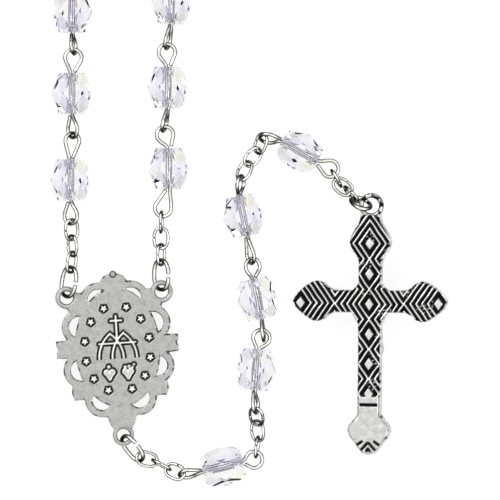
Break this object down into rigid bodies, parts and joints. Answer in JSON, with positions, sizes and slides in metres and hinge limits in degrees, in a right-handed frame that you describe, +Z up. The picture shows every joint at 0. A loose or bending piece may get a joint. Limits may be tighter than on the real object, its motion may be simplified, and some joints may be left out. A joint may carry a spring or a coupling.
{
  "type": "rosary",
  "caption": "Rosary of faceted clear beads on silver eye pins and chain, with an oval openwork centrepiece medal and a trefoil-ended crucifix, laid flat.",
  "frame": {"origin": "on the surface it lies on, under the middle of the laid-out rosary", "axes": "+Z up from the surface; +Y from the pendant end to the far side of the loop; +X to the right as seen from above"},
  "size_m": [0.1014, 0.1576, 0.0074],
  "materials": {
    "crystal": "gloss",
    "silver_wire": "gloss",
    "antique_silver": "satin"
  },
  "bodies": {
    "centrepiece_medal": {"centrepiece_medal": "antique_silver"},
    "left_jump_ring": {"left_jump_ring": "silver_wire"},
    "left_chain_link_1": {"left_chain_link_1": "silver_wire"},
    "left_chain_link_2": {"left_chain_link_2": "silver_wire"},
    "left_chain_link_3": {"left_chain_link_3": "silver_wire"},
    "left_bead_1_pin": {"left_bead_1_pin": "silver_wire"},
    "left_bead_1": {"left_bead_1": "crystal"},
    "left_bead_2_pin": {"left_bead_2_pin": "silver_wire"},
    "left_bead_2": {"left_bead_2": "crystal"},
    "left_bead_3_pin": {"left_bead_3_pin": "silver_wire"},
    "left_bead_3": {"left_bead_3": "crystal"},
    "right_jump_ring": {"right_jump_ring": "silver_wire"},
    "right_chain_link_1": {"right_chain_link_1": "silver_wire"},
    "right_chain_link_2": {"right_chain_link_2": "silver_wire"},
    "right_chain_link_3": {"right_chain_link_3": "silver_wire"},
    "right_bead_1_pin": {"right_bead_1_pin": "silver_wire"},
    "right_bead_1": {"right_bead_1": "crystal"},
    "right_bead_2_pin": {"right_bead_2_pin": "silver_wire"},
    "right_bead_2": {"right_bead_2": "crystal"},
    "right_bead_3_pin": {"right_bead_3_pin": "silver_wire"},
    "right_bead_3": {"right_bead_3": "crystal"},
    "pendant_jump_ring": {"pendant_jump_ring": "silver_wire"},
    "pendant_link_1": {"pendant_link_1": "silver_wire"},
    "pendant_link_2": {"pendant_link_2": "silver_wire"},
    "pendant_link_3": {"pendant_link_3": "silver_wire"},
    "our_father_bead_1_pin": {"our_father_bead_1_pin": "silver_wire"},
    "our_father_bead_1": {"our_father_bead_1": "crystal"},
    "pendant_link_4": {"pendant_link_4": "silver_wire"},
    "pendant_link_5": {"pendant_link_5": "silver_wire"},
    "pendant_link_6": {"pendant_link_6": "silver_wire"},
    "hail_mary_bead_1_pin": {"hail_mary_bead_1_pin": "silver_wire"},
    "hail_mary_bead_1": {"hail_mary_bead_1": "crystal"},
    "hail_mary_bead_2_pin": {"hail_mary_bead_2_pin": "silver_wire"},
    "hail_mary_bead_2": {"hail_mary_bead_2": "crystal"},
    "hail_mary_bead_3_pin": {"hail_mary_bead_3_pin": "silver_wire"},
    "hail_mary_bead_3": {"hail_mary_bead_3": "crystal"},
    "pendant_link_7": {"pendant_link_7": "silver_wire"},
    "pendant_link_8": {"pendant_link_8": "silver_wire"},
    "pendant_link_9": {"pendant_link_9": "silver_wire"},
    "our_father_bead_2_pin": {"our_father_bead_2_pin": "silver_wire"},
    "our_father_bead_2": {"our_father_bead_2": "crystal"},
    "pendant_link_10": {"pendant_link_10": "silver_wire"},
    "pendant_link_11": {"pendant_link_11": "silver_wire"},
    "pendant_link_12": {"pendant_link_12": "silver_wire"},
    "crucifix_jump_ring": {"crucifix_jump_ring": "antique_silver"},
    "crucifix": {"crucifix": "antique_silver", "crucifix_figure": "antique_silver"},
    "loop_run_1": {"loop_run_1": "crystal"},
    "loop_run_2": {"loop_run_2": "crystal"},
    "loop_run_3": {"loop_run_3": "crystal"},
    "loop_run_4": {"loop_run_4": "crystal"},
    "loop_run_5": {"loop_run_5": "crystal"},
    "loop_run_6": {"loop_run_6": "crystal"},
    "loop_run_7": {"loop_run_7": "crystal"},
    "loop_run_8": {"loop_run_8": "crystal"},
    "loop_run_9": {"loop_run_9": "crystal"},
    "loop_run_10": {"loop_run_10": "crystal"},
    "loop_run_11": {"loop_run_11": "crystal"},
    "loop_run_12": {"loop_run_12": "crystal"}
  },
  "joints": [
    {"name": "left_jump_ring_hinge", "type": "hinge", "parent": "centrepiece_medal", "child": "left_jump_ring", "pos_m": [-0.00652, -0.04984, 0.0014], "axis": [-1, 0, 0], "range_deg": [-10, 50]},
    {"name": "left_chain_link_1_hinge", "type": "hinge", "parent": "left_jump_ring", "child": "left_chain_link_1", "pos_m": [-0.00585, -0.04591, 0.00174], "axis": [1, 0, 0], "range_deg": [-60, 60]},
    {"name": "left_chain_link_2_hinge", "type": "hinge", "parent": "left_chain_link_1", "child": "left_chain_link_2", "pos_m": [-0.00567, -0.04389, 0.0019], "axis": [-1, 0, 0], "range_deg": [-50, 60]},
    {"name": "left_chain_link_3_hinge", "type": "hinge", "parent": "left_chain_link_2", "child": "left_chain_link_3", "pos_m": [-0.00567, -0.04144, 0.0024], "axis": [1, 0, 0], "range_deg": [-60, 60]},
    {"name": "left_bead_1_hinge", "type": "hinge", "parent": "left_chain_link_3", "child": "left_bead_1_pin", "pos_m": [-0.00582, -0.03904, 0.0031], "axis": [-1, 0, 0], "range_deg": [-60, 45]},
    {"name": "left_bead_1_turn", "type": "hinge", "parent": "left_bead_1_pin", "child": "left_bead_1", "pos_m": [-0.00592, -0.03279, 0.0031], "axis": [0, 1, 0], "continuous": true},
    {"name": "left_bead_2_hinge", "type": "hinge", "parent": "left_bead_1_pin", "child": "left_bead_2_pin", "pos_m": [-0.00552, -0.02609, 0.0031], "axis": [1, 0, 0], "range_deg": [-45, 50]},
    {"name": "left_bead_2_turn", "type": "hinge", "parent": "left_bead_2_pin", "child": "left_bead_2", "pos_m": [-0.00572, -0.01984, 0.0031], "axis": [0, 1, 0], "continuous": true},
    {"name": "left_bead_3_hinge", "type": "hinge", "parent": "left_bead_2_pin", "child": "left_bead_3_pin", "pos_m": [-0.00533, -0.0132, 0.0031], "axis": [-1, 0, 0], "range_deg": [-60, 60]},
    {"name": "left_bead_3_turn", "type": "hinge", "parent": "left_bead_3_pin", "child": "left_bead_3", "pos_m": [-0.00562, -0.00759, 0.0031], "axis": [0, 1, 0], "continuous": true},
    {"name": "right_jump_ring_hinge", "type": "hinge", "parent": "centrepiece_medal", "child": "right_jump_ring", "pos_m": [0.00768, -0.04884, 0.00142], "axis": [1, 0, 0], "range_deg": [-40, 10]},
    {"name": "right_chain_link_1_hinge", "type": "hinge", "parent": "right_jump_ring", "child": "right_chain_link_1", "pos_m": [0.00768, -0.04483, 0.00173], "axis": [-1, 0, 0], "range_deg": [-60, 60]},
    {"name": "right_chain_link_2_hinge", "type": "hinge", "parent": "right_chain_link_1", "child": "right_chain_link_2", "pos_m": [0.00762, -0.04304, 0.00184], "axis": [1, 0, 0], "range_deg": [-60, 60]},
    {"name": "right_chain_link_3_hinge", "type": "hinge", "parent": "right_chain_link_2", "child": "right_chain_link_3", "pos_m": [0.00769, -0.04, 0.00246], "axis": [-1, 0, 0], "range_deg": [-60, 60]},
    {"name": "right_bead_1_hinge", "type": "hinge", "parent": "right_chain_link_3", "child": "right_bead_1_pin", "pos_m": [0.00763, -0.03822, 0.0031], "axis": [1, 0, 0], "range_deg": [-60, 60]},
    {"name": "right_bead_1_turn", "type": "hinge", "parent": "right_bead_1_pin", "child": "right_bead_1", "pos_m": [0.00883, -0.03109, 0.0031], "axis": [0, 1, 0], "continuous": true},
    {"name": "right_bead_2_hinge", "type": "hinge", "parent": "right_bead_1_pin", "child": "right_bead_2_pin", "pos_m": [0.00793, -0.02482, 0.0031], "axis": [-1, 0, 0], "range_deg": [-60, 60]},
    {"name": "right_bead_2_turn", "type": "hinge", "parent": "right_bead_2_pin", "child": "right_bead_2", "pos_m": [0.00868, -0.01894, 0.0031], "axis": [0, 1, 0], "continuous": true},
    {"name": "right_bead_3_hinge", "type": "hinge", "parent": "right_bead_2_pin", "child": "right_bead_3_pin", "pos_m": [0.00851, -0.0124, 0.0031], "axis": [1, 0, 0], "range_deg": [-60, 60]},
    {"name": "right_bead_3_turn", "type": "hinge", "parent": "right_bead_3_pin", "child": "right_bead_3", "pos_m": [0.00923, -0.00629, 0.0031], "axis": [0.0175, 0.9998, 0], "continuous": true},
    {"name": "pendant_jump_ring_hinge", "type": "hinge", "parent": "centrepiece_medal", "child": "pendant_jump_ring", "pos_m": [0.00228, -0.07184, 0.00145], "axis": [0.7706, 0.6373, 0], "range_deg": [-35, 50]},
    {"name": "pendant_link_1_hinge", "type": "hinge", "parent": "pendant_jump_ring", "child": "pendant_link_1", "pos_m": [0.00443, -0.07444, 0.00175], "axis": [-0.2631, -0.9648, 0], "range_deg": [-40, 60]},
    {"name": "pendant_link_2_hinge", "type": "hinge", "parent": "pendant_link_1", "child": "pendant_link_2", "pos_m": [0.00702, -0.07515, 0.00157], "axis": [0.4555, 0.8902, 0], "range_deg": [-60, 60]},
    {"name": "pendant_link_3_hinge", "type": "hinge", "parent": "pendant_link_2", "child": "pendant_link_3", "pos_m": [0.00846, -0.07601, 0.00206], "axis": [-0.3911, -0.9203, 0], "range_deg": [-60, 60]},
    {"name": "our_father_bead_1_hinge", "type": "hinge", "parent": "pendant_link_3", "child": "our_father_bead_1_pin", "pos_m": [0.01078, -0.07699, 0.0031], "axis": [-0.2841, 0.9588, 0], "range_deg": [-60, 30]},
    {"name": "our_father_bead_1_turn", "type": "hinge", "parent": "our_father_bead_1_pin", "child": "our_father_bead_1", "pos_m": [0.01698, -0.07579, 0.0031], "axis": [0.9724, 0.2334, 0], "continuous": true},
    {"name": "pendant_link_4_hinge", "type": "hinge", "parent": "our_father_bead_1_pin", "child": "pendant_link_4", "pos_m": [0.0221, -0.07359, 0.0031], "axis": [0.9906, -0.1366, 0], "range_deg": [-60, 60]},
    {"name": "pendant_link_5_hinge", "type": "hinge", "parent": "pendant_link_4", "child": "pendant_link_5", "pos_m": [0.02227, -0.07197, 0.00257], "axis": [-0.9976, -0.0692, 0], "range_deg": [-60, 60]},
    {"name": "pendant_link_6_hinge", "type": "hinge", "parent": "pendant_link_5", "child": "pendant_link_6", "pos_m": [0.02211, -0.06961, 0.00166], "axis": [0.9967, 0.0808, 0], "range_deg": [-25, 25]},
    {"name": "hail_mary_bead_1_hinge", "type": "hinge", "parent": "pendant_link_6", "child": "hail_mary_bead_1_pin", "pos_m": [0.0219, -0.06702, 0.00334], "axis": [-0.9942, 0.1072, 0], "range_deg": [-60, 60]},
    {"name": "hail_mary_bead_1_turn", "type": "hinge", "parent": "hail_mary_bead_1_pin", "child": "hail_mary_bead_1", "pos_m": [0.02193, -0.06119, 0.0031], "axis": [0.075, 0.9972, 0], "continuous": true},
    {"name": "hail_mary_bead_2_hinge", "type": "hinge", "parent": "hail_mary_bead_1_pin", "child": "hail_mary_bead_2_pin", "pos_m": [0.02298, -0.05599, 0.0031], "axis": [0.9893, 0.146, 0], "range_deg": [-60, 60]},
    {"name": "hail_mary_bead_2_turn", "type": "hinge", "parent": "hail_mary_bead_2_pin", "child": "hail_mary_bead_2", "pos_m": [0.02213, -0.05059, 0.0031], "axis": [-0.2045, 0.9789, 0], "continuous": true},
    {"name": "hail_mary_bead_3_hinge", "type": "hinge", "parent": "hail_mary_bead_2_pin", "child": "hail_mary_bead_3_pin", "pos_m": [0.02116, -0.04457, 0.0031], "axis": [-0.9933, -0.1155, 0], "range_deg": [-60, 60]},
    {"name": "hail_mary_bead_3_turn", "type": "hinge", "parent": "hail_mary_bead_3_pin", "child": "hail_mary_bead_3", "pos_m": [0.01998, -0.03819, 0.0031], "axis": [-0.1959, 0.9806, 0], "continuous": true},
    {"name": "pendant_link_7_hinge", "type": "hinge", "parent": "hail_mary_bead_3_pin", "child": "pendant_link_7", "pos_m": [0.01961, -0.03277, 0.00318], "axis": [0.9181, -0.3964, 0], "range_deg": [-60, 55]},
    {"name": "pendant_link_8_hinge", "type": "hinge", "parent": "pendant_link_7", "child": "pendant_link_8", "pos_m": [0.02068, -0.03029, 0.0025], "axis": [-0.7749, 0.6321, 0], "range_deg": [-40, 60]},
    {"name": "pendant_link_9_hinge", "type": "hinge", "parent": "pendant_link_8", "child": "pendant_link_9", "pos_m": [0.02223, -0.02839, 0.0024], "axis": [0.93, -0.3677, 0], "range_deg": [-60, 45]},
    {"name": "our_father_bead_2_hinge", "type": "hinge", "parent": "pendant_link_9", "child": "our_father_bead_2_pin", "pos_m": [0.02308, -0.02624, 0.0031], "axis": [0.4756, 0.8797, 0], "range_deg": [-45, 25]},
    {"name": "our_father_bead_2_turn", "type": "hinge", "parent": "our_father_bead_2_pin", "child": "our_father_bead_2", "pos_m": [0.02848, -0.02849, 0.0031], "axis": [0.866, -0.5, 0], "continuous": true},
    {"name": "pendant_link_10_hinge", "type": "hinge", "parent": "our_father_bead_2_pin", "child": "pendant_link_10", "pos_m": [0.03381, -0.03207, 0.0031], "axis": [-0.877, -0.4804, 0], "range_deg": [-60, 60]},
    {"name": "pendant_link_11_hinge", "type": "hinge", "parent": "pendant_link_10", "child": "pendant_link_11", "pos_m": [0.03377, -0.03283, 0.00162], "axis": [0.6114, 0.7913, 0], "range_deg": [-45, 60]},
    {"name": "pendant_link_12_hinge", "type": "hinge", "parent": "pendant_link_11", "child": "pendant_link_12", "pos_m": [0.03619, -0.0347, 0.00118], "axis": [-0.7071, -0.7071, 0], "range_deg": [-60, 60]},
    {"name": "crucifix_jump_ring_hinge", "type": "hinge", "parent": "pendant_link_12", "child": "crucifix_jump_ring", "pos_m": [0.03678, -0.03546, 0.00191], "axis": [0.6865, 0.7272, 0], "range_deg": [-60, 60]},
    {"name": "crucifix_hinge", "type": "hinge", "parent": "crucifix_jump_ring", "child": "crucifix", "pos_m": [0.03853, -0.03711, 0.00394], "axis": [1, 0, 0], "range_deg": [-35, 50]},
    {"name": "loop_run_1_hinge", "type": "hinge", "parent": "left_bead_3_pin", "child": "loop_run_1", "pos_m": [-0.00557, -0.00129, 0.0031], "axis": [-1, 0, 0], "range_deg": [-60, 60]},
    {"name": "loop_run_2_hinge", "type": "hinge", "parent": "loop_run_1", "child": "loop_run_2", "pos_m": [-0.04277, 0.01111, 0.0031], "axis": [1, 0, 0], "range_deg": [-60, 60]},
    {"name": "loop_run_3_hinge", "type": "hinge", "parent": "loop_run_2", "child": "loop_run_3", "pos_m": [0.01433, 0.01861, 0.0031], "axis": [-1, 0, 0], "range_deg": [-60, 60]},
    {"name": "loop_run_4_hinge", "type": "hinge", "parent": "loop_run_3", "child": "loop_run_4", "pos_m": [-0.04767, 0.03101, 0.0031], "axis": [1, 0, 0], "range_deg": [-60, 60]},
    {"name": "loop_run_5_hinge", "type": "hinge", "parent": "loop_run_4", "child": "loop_run_5", "pos_m": [0.00943, 0.04341, 0.0031], "axis": [-1, 0, 0], "range_deg": [-60, 60]},
    {"name": "loop_run_6_hinge", "type": "hinge", "parent": "loop_run_5", "child": "loop_run_6", "pos_m": [-0.04767, 0.05581, 0.0031], "axis": [1, 0, 0], "range_deg": [-60, 60]},
    {"name": "loop_run_7_hinge", "type": "hinge", "parent": "loop_run_6", "child": "loop_run_7", "pos_m": [0.01433, 0.06331, 0.0031], "axis": [-1, 0, 0], "range_deg": [-60, 60]},
    {"name": "loop_run_8_hinge", "type": "hinge", "parent": "loop_run_7", "child": "loop_run_8", "pos_m": [-0.04277, 0.07571, 0.0031], "axis": [1, 0, 0], "range_deg": [-60, 60]},
    {"name": "loop_run_9_hinge", "type": "hinge", "parent": "loop_run_8", "child": "loop_run_9", "pos_m": [0.03913, 0.07571, 0.0031], "axis": [-1, 0, 0], "range_deg": [-60, 60]},
    {"name": "loop_run_10_hinge", "type": "hinge", "parent": "loop_run_9", "child": "loop_run_10", "pos_m": [0.03913, 0.04341, 0.0031], "axis": [1, 0, 0], "range_deg": [-60, 60]},
    {"name": "loop_run_11_hinge", "type": "hinge", "parent": "loop_run_10", "child": "loop_run_11", "pos_m": [0.02673, 0.00621, 0.0031], "axis": [-1, 0, 0], "range_deg": [-60, 60]},
    {"name": "loop_run_12_hinge", "type": "hinge", "parent": "loop_run_11", "child": "loop_run_12", "pos_m": [0.01571, 0.01189, 0.0031], "axis": [1, 0, 0], "range_deg": [-60, 60]}
  ]
}
